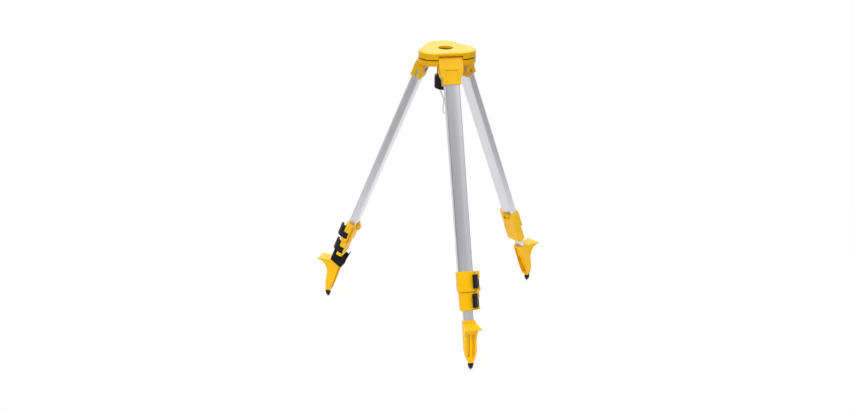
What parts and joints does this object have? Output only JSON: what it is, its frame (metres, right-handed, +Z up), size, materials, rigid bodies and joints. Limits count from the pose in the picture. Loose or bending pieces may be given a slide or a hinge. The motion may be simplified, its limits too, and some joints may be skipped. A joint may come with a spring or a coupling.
{
  "type": "surveying tripod",
  "caption": "Telescopic surveying tripod with a flat triangular head, folding legs, lever clamps, pedal feet, a shifting fixing screw and a plumb hook, legs pushed in and spread",
  "frame": {"origin": "middle of the head's flat top face, on the axis of its hole", "axes": "+Z up, out of the head's top face; -Y towards the front leg; +X to the right of the front leg seen from outside"},
  "size_m": [0.5692, 0.4929, 0.6615],
  "materials": {
    "yellow_plastic": "satin",
    "black_plastic": "satin",
    "black_rubber": "matte",
    "aluminium": "satin anodised",
    "steel": "zinc plated",
    "brass": "turned",
    "webbing": "woven"
  },
  "bodies": {
    "head": {"head_plate": "yellow_plastic", "head_frame": "yellow_plastic", "head_screws": "steel", "hinge_pins": "steel", "arm_pivot_screw": "steel"},
    "swing_arm": {"swing_arm": "steel"},
    "screw_bush": {"screw_bush": "brass"},
    "thrust_washer": {"thrust_washer": "steel"},
    "centre_screw": {"centre_screw": "steel", "screw_handle": "black_plastic", "chain_staples": "steel"},
    "plumb_hook": {"plumb_chain": "steel", "plumb_hook": "steel"},
    "front_leg": {"front_hinge_block": "yellow_plastic", "front_tube_bolts": "steel", "front_upper_tube": "aluminium", "front_upper_clamp": "yellow_plastic", "front_upper_lever_pin": "steel"},
    "front_upper_lever": {"front_upper_lever": "black_plastic"},
    "front_middle": {"front_middle_tube": "aluminium", "front_middle_plug": "black_plastic", "front_lower_clamp": "yellow_plastic", "front_lower_lever_pin": "steel"},
    "front_lower_lever": {"front_lower_lever": "black_plastic"},
    "front_lower": {"front_lower_tube": "aluminium", "front_lower_plug": "black_plastic", "front_foot": "yellow_plastic", "front_foot_tip": "black_rubber"},
    "right_leg": {"right_hinge_block": "yellow_plastic", "right_tube_bolts": "steel", "right_upper_tube": "aluminium", "right_upper_clamp": "yellow_plastic", "right_upper_lever_pin": "steel"},
    "right_upper_lever": {"right_upper_lever": "black_plastic"},
    "right_middle": {"right_middle_tube": "aluminium", "right_middle_plug": "black_plastic", "right_lower_clamp": "yellow_plastic", "right_lower_lever_pin": "steel"},
    "right_lower_lever": {"right_lower_lever": "black_plastic"},
    "right_lower": {"right_lower_tube": "aluminium", "right_lower_plug": "black_plastic", "right_foot": "yellow_plastic", "right_foot_tip": "black_rubber"},
    "left_leg": {"left_hinge_block": "yellow_plastic", "left_tube_bolts": "steel", "left_upper_tube": "aluminium", "left_upper_clamp": "yellow_plastic", "left_upper_lever_pin": "steel"},
    "left_upper_lever": {"left_upper_lever": "black_plastic"},
    "left_middle": {"left_middle_tube": "aluminium", "left_middle_plug": "black_plastic", "left_lower_clamp": "yellow_plastic", "left_lower_lever_pin": "steel"},
    "left_lower_lever": {"left_lower_lever": "black_plastic"},
    "left_lower": {"left_lower_tube": "aluminium", "left_lower_plug": "black_plastic", "left_foot": "yellow_plastic", "left_foot_tip": "black_rubber", "leg_strap": "webbing"}
  },
  "joints": [
    {"name": "arm_swing", "type": "hinge", "parent": "head", "child": "swing_arm", "pos_m": [0, 0.044, -0.0078], "axis": [0, 0, 1], "range_deg": [-2.6, 2.6]},
    {"name": "bush_slide", "type": "slide", "parent": "swing_arm", "child": "screw_bush", "axis": [0, 1, 0], "range_m": [-0.002, 0.002]},
    {"name": "screw_lift", "type": "slide", "parent": "screw_bush", "child": "thrust_washer", "axis": [0, 0, 1], "range_m": [0, 0.016]},
    {"name": "screw_spin", "type": "hinge", "parent": "thrust_washer", "child": "centre_screw", "pos_m": [0, 0, -0.05], "axis": [0, 0, 1], "continuous": true},
    {"name": "hook_swing", "type": "hinge", "parent": "centre_screw", "child": "plumb_hook", "pos_m": [0, 0, -0.09859], "axis": [1, 0, 0], "range_deg": [-25, 25]},
    {"name": "front_fold", "type": "hinge", "parent": "head", "child": "front_leg", "pos_m": [0, -0.043, -0.0145], "axis": [1, 0, 0], "range_deg": [0, 22.6]},
    {"name": "front_upper_lever_turn", "type": "hinge", "parent": "front_leg", "child": "front_upper_lever", "pos_m": [0.0258, -0.23688, -0.47831], "axis": [0, 0.3843, 0.9232], "range_deg": [0, 95]},
    {"name": "front_lower_lever_turn", "type": "hinge", "parent": "front_middle", "child": "front_lower_lever", "pos_m": [0.0231, -0.25019, -0.51913], "axis": [0, 0.3843, 0.9232], "range_deg": [0, 95]},
    {"name": "front_middle_slide", "type": "slide", "parent": "front_leg", "child": "front_middle", "axis": [0, -0.3843, -0.9232], "range_m": [0, 0.39]},
    {"name": "front_lower_slide", "type": "slide", "parent": "front_middle", "child": "front_lower", "axis": [0, -0.3843, -0.9232], "range_m": [0, 0.42]},
    {"name": "right_fold", "type": "hinge", "parent": "head", "child": "right_leg", "pos_m": [0.03724, 0.0215, -0.0145], "axis": [-0.5, 0.866, 0], "range_deg": [0, 22.6]},
    {"name": "right_upper_lever_turn", "type": "hinge", "parent": "right_leg", "child": "right_upper_lever", "pos_m": [0.19224, 0.14078, -0.47831], "axis": [-0.3328, -0.1921, 0.9232], "range_deg": [0, 95]},
    {"name": "right_lower_lever_turn", "type": "hinge", "parent": "right_middle", "child": "right_lower_lever", "pos_m": [0.20512, 0.1451, -0.51913], "axis": [-0.3328, -0.1921, 0.9232], "range_deg": [0, 95]},
    {"name": "right_middle_slide", "type": "slide", "parent": "right_leg", "child": "right_middle", "axis": [0.3328, 0.1921, -0.9232], "range_m": [0, 0.39]},
    {"name": "right_lower_slide", "type": "slide", "parent": "right_middle", "child": "right_lower", "axis": [0.3328, 0.1921, -0.9232], "range_m": [0, 0.42]},
    {"name": "left_fold", "type": "hinge", "parent": "head", "child": "left_leg", "pos_m": [-0.03724, 0.0215, -0.0145], "axis": [-0.5, -0.866, 0], "range_deg": [0, 22.6]},
    {"name": "left_upper_lever_turn", "type": "hinge", "parent": "left_leg", "child": "left_upper_lever", "pos_m": [-0.21804, 0.09609, -0.47831], "axis": [0.3328, -0.1921, 0.9232], "range_deg": [0, 95]},
    {"name": "left_lower_lever_turn", "type": "hinge", "parent": "left_middle", "child": "left_lower_lever", "pos_m": [-0.22822, 0.10509, -0.51913], "axis": [0.3328, -0.1921, 0.9232], "range_deg": [0, 95]},
    {"name": "left_middle_slide", "type": "slide", "parent": "left_leg", "child": "left_middle", "axis": [-0.3328, 0.1921, -0.9232], "range_m": [0, 0.39]},
    {"name": "left_lower_slide", "type": "slide", "parent": "left_middle", "child": "left_lower", "axis": [-0.3328, 0.1921, -0.9232], "range_m": [0, 0.42]}
  ]
}
